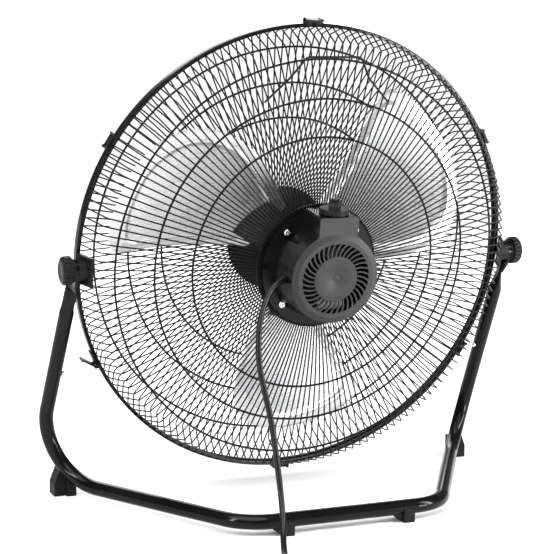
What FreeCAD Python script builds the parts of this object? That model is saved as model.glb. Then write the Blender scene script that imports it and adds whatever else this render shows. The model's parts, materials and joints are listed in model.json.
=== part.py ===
import FreeCAD, Part
import math
import os
import re
import Sketcher
from FreeCAD import Placement, Rotation, Vector

# Floor fan: a round wire-guarded head that tilts between two bent-tube arms.
#
# Frame: +Z up, origin on the floor below the middle of the fan, front of the fan faces -Y.
# "Left" is +X, as seen by somebody who stands behind the fan.
# The head is drawn in its own axes (disc centre at the origin, blade axis along Y, rear = +Y)
# and is then placed on the stand with its lean.

doc = FreeCAD.newDocument("FloorFan")

SIZES = [
    # name, value, meaning
    ("pivot_height", 292.2, "tilt axis above the floor"),
    ("pivot_y", -21.9, "tilt axis in front of the origin"),
    ("head_lean", 7.8, "degrees that the blade axis points up at the front"),
    ("disc_rise", 5.8, "disc centre above the tilt axis"),
    ("tube_radius", 8.8, "outside radius of the stand tube"),
    ("tube_wall", 1.4, "wall of the stand tube"),
    ("arm_top_x", 282.6, "middle of the flattened arm end at the tilt axis"),
    ("arm_foot_x", 295.2, "corner where arm and base side would meet"),
    ("base_front", 137.5, "that corner in front of the tilt axis"),
    ("base_rear", 141.7, "middle of the crossbar behind the tilt axis"),
    ("base_rear_x", 124.1, "corner where base side and crossbar would meet"),
    ("tube_height", 16.5, "middle of the base tube above the floor"),
    ("front_bend", 68.0, "bend radius between arm and base side"),
    ("rear_bend", 58.0, "bend radius between base side and crossbar"),
    ("flat_thickness", 3.4, "flattened arm end"),
    ("flat_width", 25.0, "flattened arm end"),
    ("pivot_hole", 3.4, "radius of the hole for the knob's stud"),
    ("boss_radius", 12.5, "boss of the pivot bracket behind the arm"),
    ("bracket_height", 35.0, "pivot bracket along the hoop"),
    ("bracket_width", 25.0, "pivot bracket along the blade axis"),
    ("insert_radius", 4.25, "threaded insert in the boss"),
    ("clip_length", 20.0, "saddle of a rim clip along the hoop"),
    ("clip_sheet", 1.0, "saddle of a rim clip"),
    ("clip_ear", 1.2, "side cheek of a rim clip"),
    ("clip_pin_radius", 0.8, "hinge pin of a rim clip"),
    ("band_radius", 278.0, "outside of the hoop that joins the two guards"),
    ("band_front", -25.3, "front edge of the hoop"),
    ("band_rear", -12.9, "rear edge of the hoop"),
    ("band_sheet", 1.0, "sheet of the hoop"),
    ("band_lip", 3.4, "depth of the hoop's turned-in lips"),
    ("wire_radius", 0.9, "spoke wire of the guards"),
    ("ring_radius", 1.3, "ring wire of the guards"),
    ("rim_wire_radius", 1.6, "outermost ring of each guard, inside the hoop"),
    ("wire_count", 160, "spokes in each guard"),
    ("flange_radius", 71.4, "motor housing flange"),
    ("flange_front", 46.7, "front face of the flange"),
    ("flange_rear", 49.7, "rear face of the flange"),
    ("drum_radius", 60.5, "motor housing at its foot"),
    ("drum_end_radius", 53.6, "motor housing at its rear end"),
    ("drum_rear", 95.0, "rear end of the motor housing"),
    ("housing_wall", 2.2, "moulded wall"),
    ("cap_radius", 54.0, "rear cap"),
    ("cap_rear", 99.6, "rear face of the cap"),
    ("slot_inner", 27.0, "vent slots start"),
    ("slot_outer", 42.0, "vent slots end"),
    ("slot_count", 36, "vent slots"),
    ("turret_width", 48.5, "switch turret on top of the housing"),
    ("turret_top", 72.5, "top of the switch turret above the blade axis"),
    ("screw_circle", 62.0, "flange screws from the blade axis"),
    ("dial_axial", 80.0, "speed dial behind the disc centre"),
    ("dial_radius", 17.4, "speed dial"),
    ("dial_height", 6.0, "speed dial without its grip"),
    ("shaft_radius", 5.0, "motor shaft"),
    ("bearing_radius", 13.0, "ball bearing"),
    ("rotor_radius", 27.0, "rotor core"),
    ("stator_radius", 47.0, "stator core"),
    ("bell_radius", 58.0, "motor bell in front of the guard"),
    ("hub_radius", 34.0, "blade hub"),
    ("carrier_reach", 82.0, "outer edge of the arms that carry the blades"),
    ("blade_sheet", 1.4, "aluminium blade"),
    ("blade_pitch", 24.0, "degrees between blade and disc at mid span"),
    ("blade_axial", -17.0, "blade centre line along the axis"),
    ("knob_radius", 17.0, "tilt knob"),
    ("knob_length", 15.5, "tilt knob"),
    ("stud_radius", 2.95, "stud of the tilt knob"),
    ("cord_radius", 3.5, "mains lead"),
    ("coil_radius", 38.5, "middle of the turns of the coiled lead"),
    ("coil_height", 21.0, "three layers of lead"),
]

sheet = doc.addObject("Spreadsheet::Sheet", "sizes")
for row, (name, value, meaning) in enumerate(SIZES, start=1):
    sheet.set(f"A{row}", name)
    sheet.set(f"B{row}", str(value))
    sheet.set(f"C{row}", meaning)
    sheet.setAlias(f"B{row}", name)
doc.recompute()

parts = []


def size(name):
    """Value of one driving dimension."""
    return float(sheet.get(name))


def number(expression):
    """Value of an expression that is written in the sheet's names."""
    return float(sheet.evalExpression(str(expression)))


def bound(expression):
    """The same expression as an object outside the sheet has to write it."""
    return re.sub(r"[a-z]+(_[a-z]+)+", lambda word: "sizes." + word.group(0), expression)


def tie(thing, place, expression):
    """Binds a property to the sheet unless the expression is a plain number."""
    if re.search("[a-z]", expression):
        thing.setExpression(place, bound(expression))


def keep(thing, label, placement=None):
    """Names a finished sub-part and puts it in the list that is written out."""
    thing.Label = label
    if placement is not None:
        thing.Placement = placement
    parts.append(thing)
    return thing


def feature(label, shape, placement=None):
    """Sub-part whose shape is made directly."""
    thing = doc.addObject("Part::Feature", label)
    thing.Shape = shape
    if placement is not None:
        placement = placement * shape.Placement
    return keep(thing, label, placement)


# ---------------------------------------------------------------- frames

SCREW_OFFSET = "screw_circle * 0.70711"
PIVOT = Vector(0, size("pivot_y"), size("pivot_height"))
LEAN = Rotation(Vector(1, 0, 0), -size("head_lean"))
HEAD = Placement(PIVOT, LEAN) * Placement(Vector(0, 0, size("disc_rise")), Rotation())
AXIAL = Vector(0, 1, 0)
TO_AXIAL = Rotation(Vector(1, 0, 0), -90)


# ---------------------------------------------------------------- PartDesign helpers

def new_body(label, placement=None):
    body = doc.addObject("PartDesign::Body", label)
    return keep(body, label, placement)


def new_sketch(body, role, name, offset="0"):
    """Sketch on one of the body's own planes, moved along its normal."""
    sketch = body.newObject("Sketcher::SketchObject", name)
    plane = [each for each in body.Origin.OriginFeatures if each.Role == role][0]
    sketch.AttachmentSupport = [(plane, "")]
    sketch.MapMode = "FlatFace"
    sketch.AttachmentOffset = Placement(Vector(0, 0, number(offset)), Rotation())
    tie(sketch, ".AttachmentOffset.Base.z", offset)
    return sketch


def pin_point(sketch, geometry, end, x, y):
    """Holds one end of a line at a place that is given by two expressions."""
    across = Sketcher.Constraint("DistanceX", -1, 1, geometry, end, number(x))
    up = Sketcher.Constraint("DistanceY", -1, 1, geometry, end, number(y))
    for constraint, expression in ((across, x), (up, y)):
        held = sketch.addConstraint(constraint)
        tie(sketch, f"Constraints[{held}]", expression)


def draw_polygon(sketch, points):
    """Closed outline through points that are pairs of expressions."""
    places = [Vector(number(x), number(y), 0) for x, y in points]
    first = sketch.GeometryCount
    for start, end in zip(places, places[1:] + places[:1]):
        sketch.addGeometry(Part.LineSegment(start, end), False)
    count = len(places)
    for step in range(count):
        here = first + step
        after = first + (step + 1) % count
        sketch.addConstraint(Sketcher.Constraint("Coincident", here, 2, after, 1))
        pin_point(sketch, here, 1, *points[step])


def draw_circle(sketch, x, y, radius):
    """Circle whose centre and radius are expressions."""
    centre = Vector(number(x), number(y), 0)
    circle = Part.Circle(centre, Vector(0, 0, 1), number(radius))
    round_line = sketch.addGeometry(circle, False)
    pin_point(sketch, round_line, 3, x, y)
    held = sketch.addConstraint(Sketcher.Constraint("Radius", round_line, number(radius)))
    tie(sketch, f"Constraints[{held}]", radius)


def add_pad(body, sketch, length, kind="PartDesign::Pad", reverse=False, both=False):
    """Pad or Pocket of a sketch."""
    thing = body.newObject(kind, f"{sketch.Name}_solid")
    thing.Profile = sketch
    thing.Length = number(length)
    tie(thing, "Length", length)
    thing.Reversed = reverse
    thing.Midplane = both
    sketch.Visibility = False
    body.Tip = thing
    doc.recompute()
    return thing


def add_pocket(body, sketch, length, reverse=False, both=False):
    """Pocket that has to take something away."""
    before = body.Shape.Volume
    thing = add_pad(body, sketch, length, "PartDesign::Pocket", reverse, both)
    if body.Shape.Volume > before - 0.1:
        raise RuntimeError(f"{sketch.Name} cuts nothing from {body.Label}")
    return thing


def add_turned(body, sketch, axis="V_Axis", kind="PartDesign::Revolution"):
    """Full turn of a sketch about one of its own axes."""
    thing = body.newObject(kind, f"{sketch.Name}_turned")
    thing.Profile = sketch
    thing.ReferenceAxis = (sketch, [axis])
    thing.Angle = 360
    sketch.Visibility = False
    body.Tip = thing
    doc.recompute()
    return thing


def repeat_round(body, features, count, role):
    """Equal copies of features round one of the body's own axes."""
    pattern = body.newObject("PartDesign::PolarPattern", f"{features[0].Name}_ring")
    pattern.Originals = features
    axis = [each for each in body.Origin.OriginFeatures if each.Role == role][0]
    pattern.Axis = (axis, [""])
    pattern.Angle = 360
    pattern.Occurrences = int(number(count))
    tie(pattern, "Occurrences", count)
    body.Tip = pattern
    doc.recompute()
    return pattern


def turned_body(label, points, placement=None):
    """Ring or cup: outline of (radius, axial) pairs turned about the body's Y axis."""
    body = new_body(label, placement)
    sketch = new_sketch(body, "XY_Plane", f"{label}_outline")
    draw_polygon(sketch, points)
    add_turned(body, sketch)
    return body


# ---------------------------------------------------------------- tube and wire helpers

def corner_arc(before, corner, after, radius):
    """Arc of a given radius that rounds a corner, as its start, middle and end."""
    back = (before - corner).normalize()
    ahead = (after - corner).normalize()
    half = back.getAngle(ahead) / 2
    start = corner + back * (radius / math.tan(half))
    end = corner + ahead * (radius / math.tan(half))
    toward = (back + ahead).normalize()
    middle = corner + toward * (radius / math.sin(half) - radius)
    return start, middle, end


def rounded_path(points, radii):
    """Straight runs joined by tangent arcs, one radius for each inner point."""
    edges = []
    here = points[0]
    for before, corner, after, radius in zip(points, points[1:], points[2:], radii):
        start, middle, end = corner_arc(before, corner, after, radius)
        if (start - here).Length > 1e-3:
            edges.append(Part.LineSegment(here, start).toShape())
        edges.append(Part.Arc(start, middle, end).toShape())
        here = end
    edges.append(Part.LineSegment(here, points[-1]).toShape())
    return edges


def round_bar(edges, radius):
    """Solid round bar along a path."""
    path = Part.Wire(edges)
    first = edges[0]
    direction = first.tangentAt(first.FirstParameter)
    start = first.valueAt(first.FirstParameter)
    section = Part.Wire(Part.makeCircle(radius, start, direction))
    return path.makePipeShell([section], True, True)


def tube(edges, outside, inside):
    """Hollow tube along a path."""
    return round_bar(edges, outside).cut(round_bar(edges, inside))


def mirrored(shape):
    """The same shape on the other side of the fan."""
    return shape.mirror(Vector(0, 0, 0), Vector(1, 0, 0))


def about_axis(shape, degrees):
    """Copy turned about the blade axis, in the head's own axes, from +X towards +Z."""
    copy = shape.copy()
    copy.rotate(Vector(0, 0, 0), AXIAL, -degrees)
    return copy


def disc_place(radius, degrees, axial):
    """Point in the head's own axes: angle counted from +X towards +Z."""
    turn = math.radians(degrees)
    return Vector(radius * math.cos(turn), axial, radius * math.sin(turn))


# ---------------------------------------------------------------- stand

ARM_TOP = PIVOT + Vector(size("arm_top_x"), 0, 0)
ARM_FOOT = Vector(size("arm_foot_x"), size("pivot_y") - size("base_front"), size("tube_height"))
BASE_CORNER = Vector(size("base_rear_x"), size("pivot_y") + size("base_rear"), size("tube_height"))
CROSSBAR_MIDDLE = Vector(0, BASE_CORNER.y, size("tube_height"))
ARM_DOWN = (ARM_FOOT - ARM_TOP).normalize()
EYE_LENGTH = 14.0
FLAT_LENGTH = 26.0
CRIMP_LENGTH = 34.0
FLAT_TWIST = -18.0
SEAM_FROM_TOP = 158.0
SPIGOT_LENGTH = 26.0
WELD_LENGTH = 6.0
FRONT_FOOT_X = 283.5
FRONT_FOOT_DEPTH = 22.0
REAR_FOOT_WIDTH = 14.0
REAR_FOOT_DEPTH = 24.0
HALF_CRIMPED = (0.55, 1.2)
SLIP = 0.1


def arm_point(distance):
    """Point on the arm's middle line, measured down from the tilt axis."""
    return ARM_TOP + ARM_DOWN * distance


def arm_placement(distance):
    """Frame on the arm: Z down along the arm, X sideways."""
    across = (Vector(1, 0, 0) - ARM_DOWN * ARM_DOWN.x).normalize()
    side = ARM_DOWN.cross(across)
    return Placement(arm_point(distance), Rotation(across, side, ARM_DOWN, "ZXY"))


def eye_placement(distance, twist=0):
    """Frame on the flattened end: square to the tilt axis at the eye, twisted further down."""
    down = Vector(0, ARM_DOWN.y, ARM_DOWN.z).normalize()
    across = Vector(1, 0, 0)
    square = Rotation(across, down.cross(across), down, "ZXY")
    return Placement(ARM_TOP + down * distance, square * Rotation(Vector(0, 0, 1), twist))


def oval(half_thickness, half_width, place):
    """Closed outline across the arm while it is being flattened."""
    edge = Part.makeCircle(half_width)
    if half_width > half_thickness:
        edge = Part.Ellipse(Vector(0, 0, 0), half_width, half_thickness).toShape()
    edge.rotate(Vector(0, 0, 0), Vector(0, 0, 1), 90)
    wire = Part.Wire(edge)
    wire.Placement = place * wire.Placement
    return wire


def slab_end(distance, twist):
    """Outline across the flattened end."""
    half_flat = size("flat_thickness") / 2
    half_width = size("flat_width") / 2 - 0.5
    corners = [Vector(x * half_flat, y * half_width, 0) for x, y in
               ((-1, -1), (1, -1), (1, 1), (-1, 1), (-1, -1))]
    place = eye_placement(distance, twist)
    return Part.makePolygon([place.multVec(corner) for corner in corners])


def arm_tube_shape():
    """Arm: round tube below, crimped to a flat eye at the tilt axis."""
    outside = size("tube_radius")
    inside = outside - size("tube_wall")
    crimp_end = FLAT_LENGTH + CRIMP_LENGTH
    round_part = Part.makeCylinder(outside, SEAM_FROM_TOP - crimp_end)
    round_part = round_part.cut(Part.makeCylinder(inside, SEAM_FROM_TOP - crimp_end))
    round_part.Placement = arm_placement(crimp_end)
    half_flat = size("flat_thickness") / 2
    half_width = size("flat_width") / 2
    thin, wide = HALF_CRIMPED
    halfway = arm_placement(FLAT_LENGTH + CRIMP_LENGTH / 2)
    halfway.Rotation = halfway.Rotation * Rotation(Vector(0, 0, 1), FLAT_TWIST)
    crimp = Part.makeLoft([oval(outside, outside, arm_placement(crimp_end)),
                           oval(thin * outside, wide * outside, halfway),
                           oval(half_flat, half_width, eye_placement(FLAT_LENGTH, FLAT_TWIST))],
                          True)
    strap = Part.makeLoft([slab_end(EYE_LENGTH, 0), slab_end(FLAT_LENGTH + 0.5, FLAT_TWIST)],
                          True, True)
    plate = Part.makeBox(2 * half_flat, 2 * half_width, EYE_LENGTH + 0.5,
                         Vector(-half_flat, -half_width, 0))
    eye = Part.makeCylinder(half_width, 2 * half_flat, Vector(-half_flat, 0, 0), Vector(1, 0, 0))
    hole = Part.makeCylinder(size("pivot_hole"), 20, Vector(-10, 0, 0), Vector(1, 0, 0))
    flat = plate.fuse(eye).cut(hole)
    flat.Placement = eye_placement(0)
    return round_part.fuse(crimp).fuse(strap).fuse(flat).removeSplitter()


def spigot(start, direction):
    """Thinner sleeve that is welded inside one tube end and slides into the next tube."""
    inside = size("tube_radius") - size("tube_wall")
    plug = inside - SLIP
    wall = plug - size("tube_wall")
    sleeve = Part.makeCylinder(plug, SPIGOT_LENGTH + WELD_LENGTH, start - direction * WELD_LENGTH,
                               direction)
    weld = Part.makeCylinder(inside + 2 * SLIP, WELD_LENGTH - 4 * SLIP, start - direction * WELD_LENGTH,
                             direction)
    bore = Part.makeCylinder(wall, 2 * SPIGOT_LENGTH, start - direction * SPIGOT_LENGTH, direction)
    return sleeve.fuse(weld).cut(bore)


def base_tube_shape(spigot_across):
    """Half of the base: up into the arm, round the front bend and along to the crossbar's middle."""
    outside = size("tube_radius")
    inside = outside - size("tube_wall")
    seam = arm_point(SEAM_FROM_TOP)
    points = [seam, ARM_FOOT, BASE_CORNER, CROSSBAR_MIDDLE]
    half = tube(rounded_path(points, [size("front_bend"), size("rear_bend")]), outside, inside)
    half = half.fuse(spigot(seam, ARM_DOWN * -1))
    if spigot_across:
        half = half.fuse(spigot(CROSSBAR_MIDDLE, Vector(-1, 0, 0)))
    return half.removeSplitter()


def make_stand_tubes():
    arm = arm_tube_shape()
    feature("left_arm_tube", arm)
    feature("right_arm_tube", mirrored(arm))
    feature("base_tube_left", base_tube_shape(True))
    feature("base_tube_right", mirrored(base_tube_shape(False)))


def make_feet():
    """Four moulded feet that cradle the base tube."""
    points = [arm_point(SEAM_FROM_TOP), ARM_FOOT, BASE_CORNER, CROSSBAR_MIDDLE]
    path = rounded_path(points, [size("front_bend"), size("rear_bend")])
    bar = round_bar(path, size("tube_radius") + 0.05)
    both_bars = bar.fuse(mirrored(bar))

    def rear_foot(middle_x):
        side_x = middle_x + REAR_FOOT_WIDTH / 2
        block = Part.makeBox(REAR_FOOT_WIDTH, REAR_FOOT_DEPTH, size("tube_height"),
                             Vector(middle_x - REAR_FOOT_WIDTH / 2, BASE_CORNER.y - 14, 0))
        gusset = Part.makeBox(10, 18, 12, Vector(side_x, BASE_CORNER.y - 11, 3))
        slope = Part.makeBox(20, 30, 12, Vector(side_x, BASE_CORNER.y - 17, -9))
        slope.rotate(Vector(side_x, 0, 3), Vector(0, 1, 0), -24)
        return lowest_piece(block.fuse(gusset.cut(slope)).cut(both_bars))

    def front_foot(inner_x):
        back = size("pivot_y") - 108
        corners = [(271, 0), (FRONT_FOOT_X, 0), (FRONT_FOOT_X, 15), (FRONT_FOOT_X - 7, 34), (271, 34)]
        outline = Part.makePolygon([Vector(x, back, z) for x, z in corners + corners[:1]])
        tall = Part.Face(outline).extrude(Vector(0, FRONT_FOOT_DEPTH, 0))
        short = Part.makeBox(269 - inner_x, FRONT_FOOT_DEPTH, 28, Vector(inner_x, back + 4, 0))
        web = Part.makeBox(6, FRONT_FOOT_DEPTH - 4, 24, Vector(267, back + 4, 3))
        return lowest_piece(tall.fuse(short).fuse(web).cut(bar))

    feature("front_left_foot", front_foot(257))
    feature("front_right_foot", mirrored(front_foot(263)))
    feature("rear_left_foot", rear_foot(75))
    feature("rear_right_foot", rear_foot(-78.5))


def lowest_piece(shape):
    """The solid that stands on the floor, without slivers above the tube."""
    return min(shape.Solids, key=lambda solid: (round(solid.BoundBox.ZMin, 1), -solid.Volume))


def screw(place, direction, head_radius, head_height, shank_radius=0, shank_length=0):
    """Pan-head screw; the direction points out of the head."""
    direction = Vector(direction).normalize()
    head = Part.makeCylinder(head_radius, head_height, place, direction)
    rim = [edge for edge in head.Edges if edge.Closed
           and (edge.CenterOfMass - place).dot(direction) > head_height / 2]
    head = head.makeFillet(0.45 * head_height, rim)
    top = place + direction * head_height
    aside = Vector(0, 0, 1) if abs(direction.z) < 0.9 else Vector(1, 0, 0)
    recess = None
    for turn in (0, 90):
        slot = Part.makeBox(1.5 * head_radius, 0.3 * head_radius, 0.7 * head_height)
        slot.translate(Vector(-0.75 * head_radius, -0.15 * head_radius, -0.7 * head_height))
        slot.rotate(Vector(0, 0, 0), Vector(0, 0, 1), turn)
        recess = slot if recess is None else recess.fuse(slot)
    recess.Placement = Placement(top, Rotation(aside, Vector(0, 0, 0), direction, "ZXY"))
    head = head.cut(recess)
    if shank_length == 0:
        return head
    return head.fuse(Part.makeCylinder(shank_radius, shank_length, place, direction * -1))


def make_arm_screws():
    """Screws that pin each base tube in its arm, on the inner side of the seam."""
    inward = (Vector(-1, 0.2, 0) - ARM_DOWN * Vector(-1, 0.2, 0).dot(ARM_DOWN)).normalize()
    place = arm_point(SEAM_FROM_TOP - 9) + inward * (size("tube_radius") + 0.02)
    pin = screw(place, inward, 3.4, 2.6)
    screws = [pin, mirrored(pin)]
    feature("arm_screws", Part.makeCompound(screws))


# ---------------------------------------------------------------- guards

REAR_DOME = [Vector(66.5, 45.4, 0), Vector(160, 40.3, 0), Vector(243, 26.8, 0)]
REAR_KNEE = Vector(261.7, 23.0, 0)
REAR_END = Vector(275.4, size("band_rear") + 0.4, 0)
FRONT_DOME = [Vector(58, -77.0, 0), Vector(160, -73.2, 0), Vector(243, -60.7, 0)]
FRONT_KNEE = Vector(261.7, -56.8, 0)
FRONT_END = Vector(275.4, size("band_front") - 0.4, 0)
KNEE_RADIUS = 5.0
RING_RADII = (154.0, 198.0, 243.0)


def spoke(dome, knee, end):
    """One guard spoke: a shallow dome, a knee and a short side that runs to the hoop."""
    arc = Part.Arc(*dome).toShape()
    start, middle, stop = corner_arc(dome[-1], knee, end, KNEE_RADIUS)
    edges = [arc, Part.LineSegment(dome[-1], start).toShape(),
             Part.Arc(start, middle, stop).toShape(), Part.LineSegment(stop, end).toShape()]
    return round_bar(edges, size("wire_radius"))


def make_spokes(label, dome, knee, end):
    one = spoke(dome, knee, end)
    count = int(size("wire_count"))
    feature(label, Part.makeCompound([about_axis(one, step * 360 / count) for step in range(count)]),
            HEAD)


def dome_axial(dome, radius):
    """Height of the dome's arc at a radius."""
    circle = Part.Arc(*dome).toShape().Curve
    rise = math.sqrt(circle.Radius ** 2 - (radius - circle.Center.x) ** 2)
    side = 1 if dome[0].y > circle.Center.y else -1
    return circle.Center.y + side * rise


def ring(radius, axial, thickness):
    return Part.makeTorus(radius, thickness, Vector(0, axial, 0), AXIAL)


def make_rings(label, dome, inward):
    """Ring wires on the inner side of the spokes, and the rim ring inside the hoop."""
    gap = size("wire_radius") + size("ring_radius") + 0.03
    rings = [ring(radius, dome_axial(dome, radius) + inward * gap * 1.01, size("ring_radius"))
             for radius in RING_RADII]
    rim = size("rim_wire_radius")
    if inward < 0:
        rim_axial = size("band_rear") - size("band_sheet") - rim - 0.15
    else:
        rim_axial = size("band_front") + size("band_sheet") + rim + 0.15
    rim_radius = size("band_radius") - size("band_sheet") - rim - 0.1
    rings.append(ring(rim_radius, rim_axial, rim))
    feature(label, Part.makeCompound(rings), HEAD)


def make_rim_band():
    """C-section hoop that clamps the two rim rings together."""
    inner = "band_radius - band_sheet - band_lip"
    turned_body("rim_band", [
        (inner, "band_front"),
        ("band_radius", "band_front"),
        ("band_radius", "band_rear"),
        (inner, "band_rear"),
        (inner, "band_rear - band_sheet"),
        ("band_radius - band_sheet", "band_rear - band_sheet"),
        ("band_radius - band_sheet", "band_front + band_sheet"),
        (inner, "band_front + band_sheet"),
    ], HEAD)


def make_carry_handle():
    """Bent wire handle that stands off the top of the rear guard."""
    leg = [Vector(78, 36.3, 195), Vector(50, 38.5, 223), Vector(42, 43, 236), Vector(34, 47, 249)]
    points = leg + [Vector(-place.x, place.y, place.z) for place in leg[::-1]]
    radii = [22, 12, 7, 7, 12, 22]
    feature("carry_handle", round_bar(rounded_path(points, radii), size("ring_radius")), HEAD)


def make_front_badge():
    """Plain round plate in the middle of the front guard and the plate that clamps it."""
    turned_body("front_badge", [
        ("0", "-84.5"), ("50", "-84.5"), ("62", "-82"), ("66", "-78.2"), ("63.5", "-78.2"),
        ("61", "-80.2"), ("50", "-82.2"), ("0", "-82.2"),
    ], HEAD)
    turned_body("badge_clamp_plate", [
        ("12", "-75.8"), ("64", "-75.4"), ("64", "-73.8"), ("12", "-74.2"),
    ], HEAD)


def make_guards():
    make_spokes("rear_guard_spokes", REAR_DOME, REAR_KNEE, REAR_END)
    make_rings("rear_guard_rings", REAR_DOME, -1)
    make_spokes("front_guard_spokes", FRONT_DOME, FRONT_KNEE, FRONT_END)
    make_rings("front_guard_rings", FRONT_DOME, 1)
    make_rim_band()
    make_carry_handle()
    make_front_badge()
    plate = turned_body("guard_centre_plate", [
        ("53", "flange_front - 4.8"), ("76", "flange_front - 4.8"),
        ("76", "flange_front - 3"), ("53", "flange_front - 3"),
    ], HEAD)
    hole = new_sketch(plate, "XZ_Plane", "plate_screw_hole", "-flange_front")
    draw_circle(hole, SCREW_OFFSET, SCREW_OFFSET, "2.4")
    repeat_round(plate, [add_pocket(plate, hole, "10", reverse=True)], "4", "Y_Axis")


# ---------------------------------------------------------------- tilt pivots

INSERT_LENGTH = 6.8
BRACKET_SHEET = 3.1
WIRE_GAP = 1.3
STUD_LENGTH = 17.0


def guard_envelope(outward):
    """Solid that encloses the guards and hoop, grown outwards."""
    side = REAR_END - REAR_KNEE
    normal = Vector(-side.y, side.x, 0).normalize() * outward
    knee = REAR_KNEE + normal
    end = REAR_END + normal
    band = size("band_radius") + 0.3 + max(outward - WIRE_GAP, 0)
    step = size("band_rear") + 0.3
    outline = [Vector(0, 60, 0), Vector(200, 60, 0), Vector(knee.x - 10, knee.y + 6, 0), knee, end,
               Vector(end.x, step, 0), Vector(band, step, 0), Vector(band, -60, 0),
               Vector(0, -60, 0)]
    face = Part.Face(Part.makePolygon(outline + outline[:1]))
    return face.revolve(Vector(0, 0, 0), AXIAL, 360)


def make_pivot_brackets():
    """Moulded brackets on the guard's sides that the knobs screw into."""
    low = -size("disc_rise")
    face_x = size("arm_top_x") - size("flat_thickness") / 2 - 0.3
    inner_x = size("band_radius") - 23
    boss = Part.makeCylinder(size("boss_radius"), face_x - inner_x, Vector(inner_x, 0, low),
                             Vector(1, 0, 0))
    height = size("bracket_height")
    strap = Part.makeBox(40, size("bracket_width"), height, Vector(250, -9, low - height / 2))
    strap = strap.common(guard_envelope(BRACKET_SHEET + WIRE_GAP))
    bore = Part.makeCylinder(size("insert_radius") + 0.05, 60,
                             Vector(face_x - INSERT_LENGTH - 0.1, 0, low), Vector(1, 0, 0))
    solid = boss.fuse(strap).cut(guard_envelope(WIRE_GAP)).cut(bore)
    bracket = max(solid.Solids, key=lambda each: each.Volume)
    insert = Part.makeCylinder(size("insert_radius"), INSERT_LENGTH, Vector(face_x - INSERT_LENGTH, 0, low),
                               Vector(1, 0, 0))
    insert = insert.cut(Part.makeCylinder(size("stud_radius") + 0.05, 60, Vector(240, 0, low),
                                          Vector(1, 0, 0)))
    feature("left_pivot_bracket", bracket, HEAD)
    feature("right_pivot_bracket", mirrored(bracket), HEAD)
    feature("pivot_inserts", Part.makeCompound([insert, mirrored(insert)]), HEAD)


def make_tilt_knob(label, side):
    """Fluted clamp knob with its stud; it screws into the bracket along the tilt axis."""
    inner_x = size("arm_top_x") + size("flat_thickness") / 2 + 0.3
    outward = Placement(PIVOT + Vector(side * inner_x, 0, 0), Rotation(Vector(0, 0, 1), -90 * side))
    body = turned_body(f"{label}_tilt_knob", [
        ("stud_radius + 0.03", "0"), ("13.5", "0"), ("13.5", "2.5"), ("knob_radius", "3.5"),
        ("knob_radius", "knob_length - 4"), ("knob_radius - 2", "knob_length - 1.6"),
        ("knob_radius - 6.5", "knob_length - 0.3"), ("0", "knob_length"), ("0", "7"),
        ("stud_radius + 0.03", "7"),
    ], outward)
    sketch = new_sketch(body, "XZ_Plane", f"{label}_flute", "0")
    draw_circle(sketch, "knob_radius + 1.2", "0", "2.1")
    flute = add_pocket(body, sketch, "knob_length - 2.5")
    repeat_round(body, [flute], "18", "Y_Axis")
    stud = doc.addObject("Part::Cylinder", f"{label}_knob_stud")
    stud.setExpression("Radius", "sizes.stud_radius")
    stud.Height = STUD_LENGTH
    start = PIVOT + Vector(side * (inner_x + 6.5), 0, 0)
    keep(stud, f"{label}_knob_stud", Placement(start, Rotation(Vector(0, 1, 0), -90 * side)))


# ---------------------------------------------------------------- rim clips

CLIP_ANGLES = (90, 150, 210, 270, 334, 30)
OPEN_CLIP = 5
OPEN_TURN = 35
CLIP_PIN = -8.0
LEVER_PIN_RADIUS = 280.7
LEVER_END = 9.5
LEVER_SHEET = 2.0
CLIP_GAP = 0.3


def clip_base_shape():
    """Saddle of one clip, drawn at the +X side of the hoop."""
    middle = (size("band_front") + size("band_rear")) / 2
    width = size("band_rear") - size("band_front")
    clear = width + 2 * CLIP_GAP
    cheek = size("clip_ear")
    length = size("clip_length")
    outer = size("band_radius") + CLIP_GAP
    start = outer - 1
    saddle = Part.makeBox(size("clip_sheet"), clear + 2 * cheek, length,
                          Vector(outer, middle - clear / 2 - cheek, -length / 2))
    for edge in (middle - clear / 2 - cheek, middle + clear / 2):
        hinge = Vector(LEVER_PIN_RADIUS, edge, CLIP_PIN)
        foot = Part.makeBox(LEVER_PIN_RADIUS - start + 0.1, cheek, 4,
                            Vector(start, edge, CLIP_PIN - 2))
        eye = Part.makeCylinder(1.9, cheek, hinge, AXIAL)
        hook = Part.makeBox(1.8, cheek, 8, Vector(start, edge, 1))
        saddle = saddle.fuse(foot).fuse(eye).fuse(hook)
    hole = Part.makeCylinder(size("clip_pin_radius") + 0.05, 40,
                             Vector(LEVER_PIN_RADIUS, middle - 20, CLIP_PIN), AXIAL)
    hoop = Part.makeCylinder(outer, clear, Vector(0, middle - clear / 2, 0), AXIAL)
    return saddle.cut(hole).cut(hoop).removeSplitter()


def clip_lever_shape():
    """Lever of one clip, closed along the hoop."""
    width = size("band_rear") - size("band_front")
    half = LEVER_SHEET / 2
    front = size("band_front")
    pin_reach = CLIP_GAP + size("clip_ear") - 0.2
    plate = Part.makeBox(LEVER_SHEET, width, LEVER_END - CLIP_PIN,
                         Vector(LEVER_PIN_RADIUS - half, front, CLIP_PIN))
    tip = Part.makeCylinder(1.5, width, Vector(LEVER_PIN_RADIUS + 0.5, front, LEVER_END), AXIAL)
    knuckle = Part.makeCylinder(half, width, Vector(LEVER_PIN_RADIUS, front, CLIP_PIN), AXIAL)
    pin = Part.makeCylinder(size("clip_pin_radius"), width + 2 * pin_reach,
                            Vector(LEVER_PIN_RADIUS, front - pin_reach, CLIP_PIN), AXIAL)
    return plate.fuse(tip).fuse(knuckle).fuse(pin).removeSplitter()


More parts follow.
